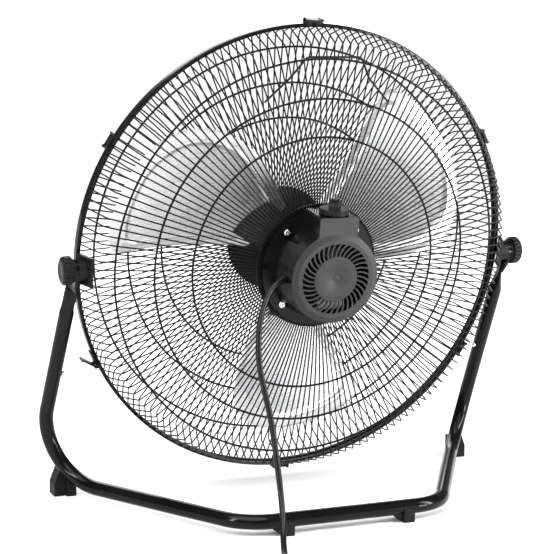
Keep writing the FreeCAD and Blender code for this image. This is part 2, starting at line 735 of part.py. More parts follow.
def make_rim_clips():
    base = clip_base_shape()
    lever = clip_lever_shape()
    opened = lever.copy()
    middle = (size("band_front") + size("band_rear")) / 2
    opened.rotate(Vector(LEVER_PIN_RADIUS, middle, CLIP_PIN), AXIAL, OPEN_TURN)
    feature("rim_clip_bases", Part.makeCompound([about_axis(base, each) for each in CLIP_ANGLES]),
            HEAD)
    for count, angle in enumerate(CLIP_ANGLES, start=1):
        shape = opened if count == OPEN_CLIP else lever
        feature(f"rim_clip_lever_{count}", about_axis(shape, angle), HEAD)


# ---------------------------------------------------------------- motor

def keyhole_outline(inset):
    """Outline of the switch turret where it grows out of the round housing."""
    side = f"turret_width / 2 - {inset}"
    other = f"-turret_width / 2 + {inset}"
    top = f"turret_top - {inset}"
    return [(f"{other} + 2", top), (other, f"{top} - 2"), (other, "50"), (f"{other} - 5", "42"),
            (f"{other} - 5", "38"), (f"{side} + 5", "38"), (f"{side} + 5", "42"), (side, "50"),
            (side, f"{top} - 2"), (f"{side} - 2", top)]


def make_motor_housing():
    """Rear shell: flange, tapered drum and the turret that carries the speed switch."""
    body = turned_body("motor_housing", [
        ("53.5", "flange_front"), ("flange_radius", "flange_front"),
        ("flange_radius", "flange_rear"), ("drum_radius", "flange_rear"),
        ("drum_end_radius", "drum_rear"), ("drum_end_radius - housing_wall", "drum_rear"),
        ("53.5", "flange_rear"),
    ], HEAD)
    turret = new_sketch(body, "XZ_Plane", "turret_outline", "-drum_rear")
    draw_polygon(turret, keyhole_outline("0"))
    add_pad(body, turret, "drum_rear - flange_rear")
    hollow = new_sketch(body, "XZ_Plane", "turret_hollow", "-drum_rear - 1")
    draw_polygon(hollow, keyhole_outline("housing_wall"))
    add_pocket(body, hollow, "drum_rear - flange_rear - 1", reverse=True)
    clear = new_sketch(body, "XZ_Plane", "drum_hollow", "-drum_rear - 1")
    draw_circle(clear, "0", "0", "drum_end_radius - housing_wall")
    add_pocket(body, clear, "drum_rear - flange_front + 2", reverse=True)
    stem = new_sketch(body, "XY_Plane", "dial_hole", "turret_top + 1")
    draw_circle(stem, "0", "dial_axial", "3.5")
    add_pocket(body, stem, "6")
    seat = new_sketch(body, "XZ_Plane", "screw_seat", "-flange_rear")
    draw_circle(seat, SCREW_OFFSET, SCREW_OFFSET, "6.5")
    cut = add_pocket(body, seat, "30", reverse=False)
    repeat_round(body, [cut], "4", "Y_Axis")
    through = new_sketch(body, "XZ_Plane", "screw_hole", "-flange_rear - 1")
    draw_circle(through, SCREW_OFFSET, SCREW_OFFSET, "2.2")
    hole = add_pocket(body, through, "6", reverse=True)
    repeat_round(body, [hole], "4", "Y_Axis")


def vent_slot():
    """One curved slot of the rear cap, as a cutter in the head's own axes."""
    inner = size("slot_inner")
    outer = size("slot_outer")
    back = size("cap_rear") - 6
    half_slot = 0.35 * 360 / size("slot_count")
    swirl = ((inner, 0.0), ((inner + outer) / 2, 3.6), (outer, 10.0))
    sides = [[disc_place(radius, turn + hand * half_slot, back) for radius, turn in swirl]
             for hand in (-1, 1)]
    ends = [disc_place(inner, 0, back), disc_place(outer, swirl[-1][1], back)]
    wire = Part.Wire([Part.Arc(*sides[0]).toShape(),
                      Part.Arc(sides[0][2], ends[1], sides[1][2]).toShape(),
                      Part.Arc(*sides[1][::-1]).toShape(),
                      Part.Arc(sides[1][0], ends[0], sides[0][0]).toShape()])
    return Part.Face(wire).extrude(AXIAL * 12)


def make_rear_cap():
    """Keyhole-shaped cap with a ring of curved vent slots."""
    plate = doc.addObject("PartDesign::Body", "cap_plate")
    plate.Placement = HEAD
    disc = new_sketch(plate, "XY_Plane", "cap_outline")
    draw_polygon(disc, [
        ("0", "cap_rear - 2.6"), ("slot_outer + 2", "cap_rear - 2.6"),
        ("cap_radius - 4", "drum_rear + 0.1"), ("cap_radius", "drum_rear + 0.1"),
        ("cap_radius", "cap_rear - 2.4"), ("slot_outer + 5", "cap_rear"), ("0", "cap_rear"),
    ])
    add_turned(plate, disc)
    turret = new_sketch(plate, "XZ_Plane", "cap_turret", "-drum_rear - 0.1")
    draw_polygon(turret, keyhole_outline("0"))
    add_pad(plate, turret, "2.4", reverse=True)
    count = int(size("slot_count"))
    slots = doc.addObject("Part::Feature", "vent_slots")
    slots.Shape = Part.makeCompound([about_axis(vent_slot(), step * 360 / count)
                                     for step in range(count)])
    slots.Placement = HEAD
    cap = doc.addObject("Part::Cut", "motor_rear_cap")
    cap.Base = plate
    cap.Tool = slots
    keep(cap, "motor_rear_cap")


def make_front_bell():
    """Ribbed front bell of the motor with its bearing seat and air windows."""
    body = turned_body("motor_front_bell", [
        ("shaft_radius + 1", "1.5"), ("18", "1.5"), ("20", "4"), ("52", "8.5"),
        ("bell_radius", "15"), ("bell_radius", "flange_front - 9"),
        ("bell_radius + 10", "flange_front - 9"), ("bell_radius + 10", "flange_front - 5"),
        ("53", "flange_front - 5"), ("53", "17"), ("46", "11"), ("19", "7.5"),
        ("19", "13.6"), ("bearing_radius + 0.02", "13.6"), ("bearing_radius + 0.02", "4"),
        ("shaft_radius + 1", "4"),
    ], HEAD)
    rib = new_sketch(body, "XZ_Plane", "bell_rib", "-flange_front + 8")
    draw_polygon(rib, [("bell_radius - 2", "-1.1"), ("bell_radius + 2", "-1.1"),
                       ("bell_radius + 2", "1.1"), ("bell_radius - 2", "1.1")])
    first = add_pad(body, rib, "flange_front - 24")
    repeat_round(body, [first], "40", "Y_Axis")
    window = new_sketch(body, "XZ_Plane", "bell_window", "2")
    draw_polygon(window, [("27", "-2.2"), ("49", "-3.4"), ("49", "3.4"), ("27", "2.2")])
    opening = add_pocket(body, window, "18", reverse=False)
    repeat_round(body, [opening], "20", "Y_Axis")


def round_block(label, radius, hole, start, length):
    """Plain ring or disc along the blade axis, from a Part cylinder and a bore."""
    block = doc.addObject("Part::Cylinder", f"{label}_blank")
    block.setExpression("Radius", bound(radius))
    block.Height = number(length)
    bore = doc.addObject("Part::Cylinder", f"{label}_bore")
    bore.setExpression("Radius", bound(hole))
    bore.Height = number(length) + 2
    for piece, back in ((block, 0), (bore, 1)):
        piece.Placement = HEAD * Placement(Vector(0, number(start) - back, 0), TO_AXIAL)
    cut = doc.addObject("Part::Cut", label)
    cut.Base = block
    cut.Tool = bore
    return cut


def make_motor_inside():
    """Shaft, bearings, rotor, stator and the electrical pieces inside the housing."""
    shaft = doc.addObject("Part::Cylinder", "motor_shaft")
    shaft.setExpression("Radius", "sizes.shaft_radius")
    shaft.Height = 112
    keep(shaft, "motor_shaft", HEAD * Placement(Vector(0, -42, 0), TO_AXIAL))
    bore = "shaft_radius + 0.03"
    bearings = doc.addObject("Part::Compound", "ball_bearings")
    bearings.Links = [round_block("front_bearing", "bearing_radius", bore, "4.3", "9"),
                      round_block("rear_bearing", "bearing_radius", bore, "61.5", "9")]
    keep(bearings, "ball_bearings")
    keep(round_block("rotor_core", "rotor_radius", bore, "22", "30"), "rotor_core")
    keep(round_block("stator_core", "stator_radius", "rotor_radius + 0.5", "22", "30"),
         "stator_core")
    rings = [Part.makeTorus(37, 5.4, Vector(0, axial, 0), AXIAL) for axial in (16.4, 57.6)]
    feature("stator_windings", Part.makeCompound(rings), HEAD)
    turned_body("rear_bearing_bracket", [
        ("bearing_radius + 0.05", "65.2"), ("48", "65.2"), ("48", "67.2"), ("16.5", "67.2"),
        ("16.5", "71"), ("bearing_radius + 0.05", "71"),
    ], HEAD)
    capacitor = Part.makeCylinder(8, 32, Vector(-16, 82, -34), Vector(1, 0, 0))
    feature("run_capacitor", capacitor, HEAD)
    switch = Part.makeBox(26, 24, 17, Vector(-13, size("dial_axial") - 12, 52))
    stem = Part.makeCylinder(3.05, 20, Vector(0, size("dial_axial"), 56))
    feature("rotary_switch", switch.cut(stem), HEAD)
    heads = []
    for step in range(4):
        place = disc_place(size("screw_circle"), 45 + 90 * step, size("flange_rear") + 0.05)
        heads.append(screw(place, AXIAL, 4.1, 2.6, 2.0, 11))
    feature("flange_screws", Part.makeCompound(heads), HEAD)


DIAL_TURN = 33.0


def make_speed_dial():
    """Dial with an arched finger grip, on a stem that turns the switch."""
    base = size("turret_top") + 1.5
    place = Placement(Vector(0, size("dial_axial"), base),
                      Rotation(Vector(0, 0, 1), -DIAL_TURN))
    disc = Part.makeCylinder(size("dial_radius"), size("dial_height"))
    rim = [edge for edge in disc.Edges if edge.Closed and edge.CenterOfMass.z > 1]
    disc = disc.makeFillet(1.2, rim)
    grip = Part.makeCylinder(22, 10, Vector(-5, 0, -4.8), Vector(1, 0, 0))
    grip = grip.common(Part.makeBox(10, 31, 30, Vector(-5, -15.5, 1)))
    stem = Part.makeCylinder(3.0, 17, Vector(0, 0, -16))
    feature("speed_dial", disc.fuse(grip).fuse(stem).removeSplitter(), HEAD * place)


# ---------------------------------------------------------------- blades

BLADE_ANGLES = (30, 150, 270)
BLADE_OUTLINE = [(50, -26), (105, -54), (155, -86), (194, -110), (216, -90), (230, -45),
                 (233, 0), (222, 40), (200, 66), (170, 78), (133, 77), (88, 60), (52, 40)]


CARRIER_SHEET = 2.0
RIVET_PLACES = ((70, 24), (59, 4), (68, -12))


def blade_height(reach, across):
    """Axial place of the blade's front face: pitch that eases towards the tip, and camber."""
    slope = math.tan(math.radians(size("blade_pitch"))) * (1.45 - reach / 230)
    camber = 7 * (1 - (across / 80) ** 2)
    return size("blade_axial") + slope * across - camber


def blade_sheet(back, thickness):
    """Curved sheet that follows the blade, larger than the blade."""
    grid = [[Vector(reach, blade_height(reach, across) + back, across)
             for across in range(-120, 101, 20)] for reach in range(10, 251, 20)]
    surface = Part.BSplineSurface()
    surface.interpolate(grid)
    return surface.toShape().extrude(AXIAL * thickness)


def blade_shape():
    places = [Vector(reach, -120, across) for reach, across in BLADE_OUTLINE]
    sweep = Part.BSplineCurve()
    sweep.interpolate(places)
    root = Part.LineSegment(places[-1], places[0])
    prism = Part.Face(Part.Wire([sweep.toShape(), root.toShape()])).extrude(AXIAL * 240)
    return blade_sheet(0, size("blade_sheet")).common(prism)


def make_blades():
    """Three pitched aluminium blades, riveted to a pressed-steel spider on the shaft."""
    blade = blade_shape()
    for count, angle in enumerate(BLADE_ANGLES, start=1):
        feature(f"blade_{count}", about_axis(blade, angle), HEAD)
    reach = size("carrier_reach")
    side = [Vector(20, -120, 20), Vector(50, -120, 30), Vector(reach - 8, -120, 36)]
    other = [Vector(reach - 2, -120, -20), Vector(50, -120, -20), Vector(20, -120, -16)]
    end = Part.Arc(side[-1], Vector(reach, -120, 0), other[0]).toShape()
    arm_outline = Part.Wire(Part.makePolygon(side).Edges + [end] + Part.makePolygon(other).Edges
                            + [Part.LineSegment(other[-1], side[0]).toShape()])
    arm_prism = Part.Face(arm_outline).extrude(AXIAL * 240)
    arm = blade_sheet(size("blade_sheet") + 0.1, CARRIER_SHEET).common(arm_prism)
    centre = size("blade_axial") - 7
    hub = Part.makeCylinder(size("hub_radius"), 3, Vector(0, centre - 1.5, 0), AXIAL)
    hub = hub.fuse(Part.makeCylinder(13, 24, Vector(0, centre - 8, 0), AXIAL))
    for angle in BLADE_ANGLES:
        hub = hub.fuse(about_axis(arm, angle))
    bore = Part.makeCylinder(size("shaft_radius") + 0.03, 80, Vector(0, -60, 0), AXIAL)
    feature("blade_hub", hub.cut(bore), HEAD)
    rivets = []
    stack = size("blade_sheet") + 0.1 + CARRIER_SHEET
    for reach, across in RIVET_PLACES:
        front = Vector(reach, blade_height(reach, across) - 0.6, across)
        rear = Vector(reach, blade_height(reach, across) + stack + 0.6, across)
        rivet = Part.makeCylinder(1.6, rear.y - front.y, front, AXIAL)
        rivet = rivet.fuse(Part.makeCylinder(3.4, 1.2, rear, AXIAL))
        rivet = rivet.fuse(Part.makeCylinder(3.0, 1.0, front - AXIAL, AXIAL))
        rivets += [about_axis(rivet, angle) for angle in BLADE_ANGLES]
    feature("blade_rivets", Part.makeCompound(rivets), HEAD)
    flat = Part.Face(Part.Wire(Part.makePolygon([disc_place(8, 60 * step, -39.2)
                                                 for step in range(7)])))
    nut = flat.extrude(AXIAL * 7).cut(bore)
    feature("hub_nut", nut, HEAD)


# ---------------------------------------------------------------- mains lead

GLAND_AXIS = Vector(10, 2, -6)
HANGING = [Vector(60, 55.5, 282), Vector(70, 57.5, 276), Vector(79, 62.5, 266.5),
           Vector(87, 69.5, 254), Vector(93.5, 76, 239), Vector(97.5, 82, 219),
           Vector(99, 89, 192), Vector(96, 98, 165), Vector(92, 109, 136),
           Vector(91, 120, 107), Vector(90.5, 130, 79), Vector(91, 141, 53), Vector(94, 155, 30),
           Vector(101, 173, 12.5), Vector(109, 195, 3.6), Vector(113, 209, 3.6)]
ON_FLOOR = [Vector(113, 209, 3.6), Vector(117, 223, 3.6), Vector(122, 246, 3.6),
            Vector(123, 266, 4.0), Vector(123, 286, 4.6)]
COIL_CENTRE = Vector(165, 303, 1.1)
TAIL = [Vector(183, 345, 18.6), Vector(204, 346, 18.9), Vector(224, 349, 19.0)]
PLUG_AXIS = Vector(20, 3, 0.1)


def bend_radii(points):
    """As large an arc at each point as its two runs allow."""
    radii = []
    for before, corner, after in zip(points, points[1:], points[2:]):
        shorter = min((corner - before).Length, (after - corner).Length)
        turn = math.pi - (before - corner).getAngle(after - corner)
        radii.append(0.45 * shorter / math.tan(turn / 2))
    return radii


def lead(label, points):
    """One uncoiled stretch of the lead."""
    radii = bend_radii(points)
    edges = rounded_path(points, radii)
    solid = round_bar(edges, size("cord_radius"))
    length = sum(edge.Length for edge in edges)
    expected = length * math.pi * size("cord_radius") ** 2
    if abs(solid.Volume - expected) > 0.01 * expected:
        raise RuntimeError(f"{label} is not a clean tube")
    print(label, "length", round(length, 1), "bend radii", [round(radius) for radius in radii])
    feature(label, solid)


def along(axis, place):
    """Placement of a turned body so that its Y axis points along a direction."""
    return Placement(place, Rotation(Vector(0, 1, 0), axis))


def make_mains_lead():
    lead("cord_hanging", HANGING)
    lead("cord_on_floor", ON_FLOOR)
    lead("cord_tail", TAIL)
    turned_body("strain_relief", [
        ("0", "-17"), ("7.5", "-17"), ("7.5", "-9"), ("5.6", "-8"), ("4.6", "0"), ("0", "0"),
    ], along(GLAND_AXIS, HANGING[0]))
    half = size("cord_radius") * 2
    coil = Part.makeCylinder(size("coil_radius") + half, size("coil_height"), COIL_CENTRE)
    coil = coil.cut(Part.makeCylinder(size("coil_radius") - half, size("coil_height"), COIL_CENTRE))
    coil = coil.makeFillet(size("cord_radius") * 0.8, [edge for edge in coil.Edges if edge.Closed
                                                        and edge.Curve.TypeId == "Part::GeomCircle"])
    feature("cord_coil", coil)
    across = 4 * size("cord_radius")
    outer = Part.makeBox(across + 2, 9, size("coil_height") + 2,
                         COIL_CENTRE + Vector(size("coil_radius") - half - 1.5, -4.5, -1))
    inner = Part.makeBox(across + 0.6, 9, size("coil_height") + 0.2,
                         COIL_CENTRE + Vector(size("coil_radius") - half - 0.5, -4.5, -0.1))
    feature("coil_tie", outer.cut(inner))
    plug = along(PLUG_AXIS, TAIL[-1])
    turned_body("plug_body", [
        ("0", "0"), ("5", "0"), ("6.5", "12"), ("13", "18"), ("18", "24"), ("18.4", "38"),
        ("17", "40"), ("0", "40"),
    ], plug)
    pins = [Part.makeCylinder(2.4, 19, Vector(side * 9.5, 40.02, 0), AXIAL) for side in (-1, 1)]
    feature("plug_pins", Part.makeCompound(pins), plug)


# ---------------------------------------------------------------- build, check and write

def check_and_write():
    doc.recompute()
    broken = [each.Name for each in doc.Objects if "Invalid" in each.State or "Error" in each.State]
    bad = [each.Label for each in parts if each.Shape.isNull() or not each.Shape.isValid()]
    if broken or bad:
        raise RuntimeError(f"failed objects {broken}, bad shapes {bad}")
    os.makedirs("parts", exist_ok=True)
    for each in parts:
        each.Shape.exportStep(f"parts/{each.Label}.step")
    print(len(parts), "sub-parts written")


make_stand_tubes()
make_feet()
make_arm_screws()
make_guards()
make_pivot_brackets()
make_tilt_knob("left", 1)
make_tilt_knob("right", -1)
make_rim_clips()
make_motor_housing()
make_rear_cap()
make_front_bell()
make_motor_inside()
make_speed_dial()
make_blades()
make_mains_lead()
check_and_write()
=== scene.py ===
import json
import math

import bmesh
import bpy
from mathutils import Matrix, Vector


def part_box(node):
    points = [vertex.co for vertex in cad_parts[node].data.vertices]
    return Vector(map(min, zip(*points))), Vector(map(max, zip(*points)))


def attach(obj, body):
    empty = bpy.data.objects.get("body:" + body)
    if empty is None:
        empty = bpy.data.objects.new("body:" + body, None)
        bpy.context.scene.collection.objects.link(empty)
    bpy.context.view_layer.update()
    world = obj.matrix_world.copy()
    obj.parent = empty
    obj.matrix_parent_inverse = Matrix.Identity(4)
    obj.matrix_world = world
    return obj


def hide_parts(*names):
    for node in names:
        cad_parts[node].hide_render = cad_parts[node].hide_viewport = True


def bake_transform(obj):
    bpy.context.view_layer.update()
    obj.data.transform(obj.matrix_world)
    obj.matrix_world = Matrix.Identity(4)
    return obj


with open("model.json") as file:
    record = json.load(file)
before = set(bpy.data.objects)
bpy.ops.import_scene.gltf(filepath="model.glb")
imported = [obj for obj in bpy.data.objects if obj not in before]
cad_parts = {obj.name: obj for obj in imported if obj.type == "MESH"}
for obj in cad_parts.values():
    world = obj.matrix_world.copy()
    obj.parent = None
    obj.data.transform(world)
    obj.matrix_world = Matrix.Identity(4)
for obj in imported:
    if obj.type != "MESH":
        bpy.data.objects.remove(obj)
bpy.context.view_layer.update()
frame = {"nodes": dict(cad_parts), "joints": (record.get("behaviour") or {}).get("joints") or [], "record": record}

# Floor fan, seen from behind. Metres, in the frame of the CAD model: +Z up, front of the fan
# faces -Y, +X is the left side for somebody who stands behind it.
# Lengths below are written in millimetres where that reads better and are scaled with MM.

MM = 0.001
JOINTS = {joint["name"]: joint for joint in frame["joints"]}

# The head's own axes: disc centre, blade axis (towards the rear) and up along the disc.
DISC = Vector(JOINTS["blade_spin"]["pos_m"])
REARWARD = Vector(JOINTS["blade_spin"]["axis"]).normalized()
SIDEWAYS = Vector((1, 0, 0))
DISC_UP = SIDEWAYS.cross(REARWARD)
HEAD = Matrix.Translation(DISC) @ Matrix((SIDEWAYS, REARWARD, DISC_UP)).transposed().to_4x4()
PIVOT = Vector(JOINTS["head_tilt"]["pos_m"])


# ---------------------------------------------------------------- camera

def add_camera():
    """Camera behind the fan and to its left, just above the top of the guard."""
    yaw = math.radians(23.07)
    pitch = math.radians(9.41)
    roll = math.radians(1.09)
    look = Vector((-math.sin(yaw) * math.cos(pitch), -math.cos(yaw) * math.cos(pitch),
                   -math.sin(pitch)))
    level = Vector((-math.cos(yaw), math.sin(yaw), 0))
    over = level.cross(look)
    right = level * math.cos(roll) + over * math.sin(roll)
    up = over * math.cos(roll) - level * math.sin(roll)
    camera = bpy.data.objects.new("camera", bpy.data.cameras.new("camera"))
    bpy.context.scene.collection.objects.link(camera)
    place = Matrix.Translation(Vector((0.8324, 1.8582, 0.6113)))
    camera.matrix_world = place @ Matrix((right, up, -look)).transposed().to_4x4()
    camera.data.sensor_width = 36
    camera.data.lens = 112.07
    camera.data.clip_end = 4000
    bpy.context.scene.camera = camera


# ---------------------------------------------------------------- object helpers

def new_object(name, mesh, body, slot, *nodes):
    """Puts a finished mesh on its body and, where named, in place of CAD nodes."""
    piece = bpy.data.objects.new(name, mesh)
    bpy.context.scene.collection.objects.link(piece)
    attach(piece, body)
    piece.data.materials.append(FINISHES[slot])
    if nodes:
        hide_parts(*nodes)
    return piece


def mesh_from(name, points, faces, smooth=True):
    """Mesh from plain lists, with normals pointing outwards."""
    mesh = bpy.data.meshes.new(name)
    mesh.from_pydata([tuple(point) for point in points], [], faces)
    work = bmesh.new()
    work.from_mesh(mesh)
    bmesh.ops.remove_doubles(work, verts=work.verts, dist=1e-6)
    bmesh.ops.recalc_face_normals(work, faces=work.faces)
    work.to_mesh(mesh)
    work.free()
    for face in mesh.polygons:
        face.use_smooth = smooth
    return mesh


def sharpen(mesh, degrees):
    """Keeps edges sharper than an angle crisp under smooth shading."""
    mesh.set_sharp_from_angle(angle=math.radians(degrees))
    return mesh


def joined(name, meshes):
    """One mesh from several."""
    work = bmesh.new()
    for mesh in meshes:
        work.from_mesh(mesh)
    result = bpy.data.meshes.new(name)
    work.to_mesh(result)
    work.free()
    for face in result.polygons:
        face.use_smooth = True
    return result


def turned(name, outline, steps, place, reach=None):
    """Surface of revolution about the place's Z axis from (radius, height) pairs in mm.

    reach(radius, height, turn) may change the radius, for flutes and ribs.
    """
    points = []
    for radius, height in outline:
        for step in range(steps):
            turn = 2 * math.pi * step / steps
            true = reach(radius, height, turn) if reach else radius
            points.append(place @ Vector((true * math.cos(turn) * MM, true * math.sin(turn) * MM,
                                          height * MM)))
    faces = []
    for row in range(len(outline) - 1):
        for step in range(steps):
            after = (step + 1) % steps
            faces.append((row * steps + step, row * steps + after,
                          (row + 1) * steps + after, (row + 1) * steps + step))
    return mesh_from(name, points, faces)


def smooth_outline(corners, per_span):
    """Open curve through a few points (Catmull-Rom), for profiles and outlines."""
    ends = [corners[0] * 2 - corners[1]] + corners + [corners[-1] * 2 - corners[-2]]
    curve = []
    for before, start, end, after in zip(ends, ends[1:], ends[2:], ends[3:]):
        for step in range(per_span):
            t = step / per_span
            curve.append(0.5 * (2 * start + (end - before) * t
                                + (2 * before - 5 * start + 4 * end - after) * t ** 2
                                + (3 * start - before - 3 * end + after) * t ** 3))
    return curve + [corners[-1]]


def facing(place, direction):
    """Placement whose Z axis points along a direction, which may not be upright."""
    forward = Vector(direction).normalized()
    side = Vector((0, 0, 1)).cross(forward)
    side.normalize()
    return (Matrix.Translation(place)
            @ Matrix((side, forward.cross(side), forward)).transposed().to_4x4())


def head_place(x, axial, up):
    """Point in the head's own axes, in mm."""
    return HEAD @ (Vector((x, axial, up)) * MM)


# ---------------------------------------------------------------- material helpers

def new_material(name, **plain):
    """Principled material; plain numbers and colours go straight on its sockets."""
    material = bpy.data.materials.new(name)
    material.use_nodes = True
    shader = material.node_tree.nodes["Principled BSDF"]
    for socket, value in plain.items():
        shader.inputs[socket.replace("_", " ")].default_value = value
    return material


def add_node(material, kind, **settings):
    node = material.node_tree.nodes.new(kind)
    for key, value in settings.items():
        setattr(node, key, value)
    return node


def join(material, source, target):
    material.node_tree.links.new(source, target)


def shader_input(material, name):
    return material.node_tree.nodes["Principled BSDF"].inputs[name]


def surface_noise(material, scale, detail=3.0, stretch=(1, 1, 1)):
    """Noise that sits in the object; a larger scale is finer."""
    place = add_node(material, "ShaderNodeTexCoord")
    mapping = add_node(material, "ShaderNodeMapping")
    mapping.inputs["Scale"].default_value = stretch
    noise = add_node(material, "ShaderNodeTexNoise")
    noise.inputs["Scale"].default_value = scale
    noise.inputs["Detail"].default_value = detail
    join(material, place.outputs["Object"], mapping.inputs["Vector"])
    join(material, mapping.outputs["Vector"], noise.inputs["Vector"])
    return noise.outputs["Fac"]


def vary_colour(material, source, dark, light, low=0.35, high=0.65):
    """Base colour that moves between two shades."""
    ramp = add_node(material, "ShaderNodeValToRGB")
    ramp.color_ramp.elements[0].position = low
    ramp.color_ramp.elements[0].color = (*dark, 1)
    ramp.color_ramp.elements[1].position = high
    ramp.color_ramp.elements[1].color = (*light, 1)
    join(material, source, ramp.inputs["Fac"])
    join(material, ramp.outputs["Color"], shader_input(material, "Base Color"))


def vary_roughness(material, source, low, high):
    spread = add_node(material, "ShaderNodeMapRange")
    spread.inputs["From Min"].default_value = 0.3
    spread.inputs["From Max"].default_value = 0.7
    spread.inputs["To Min"].default_value = low
    spread.inputs["To Max"].default_value = high
    join(material, source, spread.inputs["Value"])
    join(material, spread.outputs["Result"], shader_input(material, "Roughness"))


def add_bump(material, source, strength, height):
    """Fine relief; height is in metres."""
    bump = add_node(material, "ShaderNodeBump")
    bump.inputs["Strength"].default_value = strength
    bump.inputs["Distance"].default_value = height
    join(material, source, bump.inputs["Height"])
    normal = shader_input(material, "Normal")
    if normal.is_linked:
        join(material, normal.links[0].from_socket, bump.inputs["Normal"])
    join(material, bump.outputs["Normal"], normal)


# ---------------------------------------------------------------- materials

def gloss_black_paint():
    """Stoved black enamel on steel tube: glossy, with slight orange peel."""
    material = new_material("gloss_black_paint", Coat_Weight=0.2, Coat_Roughness=0.1,
                            Specular_IOR_Level=0.04)
    vary_colour(material, surface_noise(material, 14), (0.0018, 0.0018, 0.002),
                (0.0045, 0.0045, 0.0048))
    vary_roughness(material, surface_noise(material, 60, 5), 0.16, 0.26)
    add_bump(material, surface_noise(material, 420, 2), 0.12, 0.00012)
    return material


def black_wire():
    """Dip-coated guard wire: glossy black with thin and thick patches."""
    material = new_material("black_wire", Specular_IOR_Level=0.15)
    vary_colour(material, surface_noise(material, 30), (0.0015, 0.0015, 0.0016),
                (0.004, 0.004, 0.0042))
    vary_roughness(material, surface_noise(material, 180, 4), 0.28, 0.44)
    add_bump(material, surface_noise(material, 700, 2), 0.15, 0.0001)
    return material


def black_badge():
    material = new_material("black_badge", Coat_Weight=0.4, Coat_Roughness=0.08)
    vary_colour(material, surface_noise(material, 25), (0.008, 0.008, 0.009),
                (0.014, 0.014, 0.015))
    vary_roughness(material, surface_noise(material, 90, 4), 0.14, 0.26)
    add_bump(material, surface_noise(material, 300, 2), 0.05, 0.00008)
    return material


def black_rubber():
    """Moulded feet: dull black with scuffs that show greyer."""
    material = new_material("black_rubber", Specular_IOR_Level=0.12)
    vary_colour(material, surface_noise(material, 90, 6), (0.003, 0.003, 0.003),
                (0.010, 0.010, 0.0104), 0.45, 0.8)
    vary_roughness(material, surface_noise(material, 240, 4), 0.45, 0.7)
    add_bump(material, surface_noise(material, 900, 3), 0.3, 0.00012)
    return material


def black_plastic():
    """Spark-textured black moulding, as on knobs, brackets and clips."""
    material = new_material("black_plastic", Specular_IOR_Level=0.12)
    vary_colour(material, surface_noise(material, 40), (0.003, 0.003, 0.0032),
                (0.007, 0.007, 0.0074))
    vary_roughness(material, surface_noise(material, 320, 4), 0.34, 0.5)
    add_bump(material, surface_noise(material, 1600, 2), 0.25, 0.00008)
    return material


def housing_plastic():
    """Smoother, shinier moulding of the motor housing."""
    material = new_material("housing_plastic", Specular_IOR_Level=0.16)
    vary_colour(material, surface_noise(material, 22), (0.0018, 0.0018, 0.002),
                (0.0045, 0.0045, 0.0048))
    vary_roughness(material, surface_noise(material, 30, 2), 0.2, 0.24)
    add_bump(material, surface_noise(material, 700, 2), 0.03, 0.00002)
    return material


def cap_plastic():
    """Satin, finely grained rear cap, a shade greyer than the housing."""
    material = new_material("cap_plastic", Specular_IOR_Level=0.3)
    vary_colour(material, surface_noise(material, 30), (0.011, 0.011, 0.0113),
                (0.017, 0.017, 0.0175))
    vary_roughness(material, surface_noise(material, 260, 4), 0.4, 0.54)
    add_bump(material, surface_noise(material, 1500, 3), 0.4, 0.0001)
    return material


def dark_casting():
    """Painted aluminium casting: coarse skin under thin black paint."""
    material = new_material("dark_casting", Metallic=0.2, Specular_IOR_Level=0.2)
    vary_colour(material, surface_noise(material, 160, 6), (0.006, 0.006, 0.0065),
                (0.022, 0.022, 0.023), 0.4, 0.75)
    vary_roughness(material, surface_noise(material, 300, 5), 0.34, 0.55)
    add_bump(material, surface_noise(material, 650, 5), 0.5, 0.00025)
    return material


def bright_zinc():
    """Zinc-plated screws and nuts."""
    material = new_material("bright_zinc", Metallic=1.0)
    vary_colour(material, surface_noise(material, 500, 4), (0.55, 0.56, 0.58),
                (0.80, 0.80, 0.82))
    vary_roughness(material, surface_noise(material, 900, 4), 0.14, 0.3)
    add_bump(material, surface_noise(material, 2500, 2), 0.2, 0.00003)
    return material


def brass():
    material = new_material("brass", Metallic=1.0)
    vary_colour(material, surface_noise(material, 400, 4), (0.42, 0.29, 0.10),
                (0.68, 0.51, 0.22))
    vary_roughness(material, surface_noise(material, 900, 4), 0.22, 0.4)
    add_bump(material, surface_noise(material, 1800, 2), 0.2, 0.00004)
    return material


def steel():
    """Turned or punched steel with an oily, slightly stained skin."""
    material = new_material("steel", Metallic=1.0)
    vary_colour(material, surface_noise(material, 120, 6), (0.30, 0.30, 0.31),
                (0.52, 0.52, 0.53))
    vary_roughness(material, surface_noise(material, 500, 5, (1, 8, 1)), 0.22, 0.42)
    add_bump(material, surface_noise(material, 1500, 2, (1, 12, 1)), 0.2, 0.00004)
    return material


def copper():
    material = new_material("copper", Metallic=0.9, Coat_Weight=0.6, Coat_Roughness=0.2)
    vary_colour(material, surface_noise(material, 350, 5, (1, 9, 1)), (0.28, 0.10, 0.035),
                (0.60, 0.27, 0.11))
    vary_roughness(material, surface_noise(material, 700, 4), 0.25, 0.42)
    add_bump(material, surface_noise(material, 900, 2, (1, 14, 1)), 0.6, 0.0003)
    return material


def grey_plastic():
    material = new_material("grey_plastic", Specular_IOR_Level=0.45)
    vary_colour(material, surface_noise(material, 60), (0.22, 0.22, 0.225),
                (0.33, 0.33, 0.335))
    vary_roughness(material, surface_noise(material, 300, 4), 0.36, 0.5)
    add_bump(material, surface_noise(material, 1200, 2), 0.2, 0.00006)
    return material


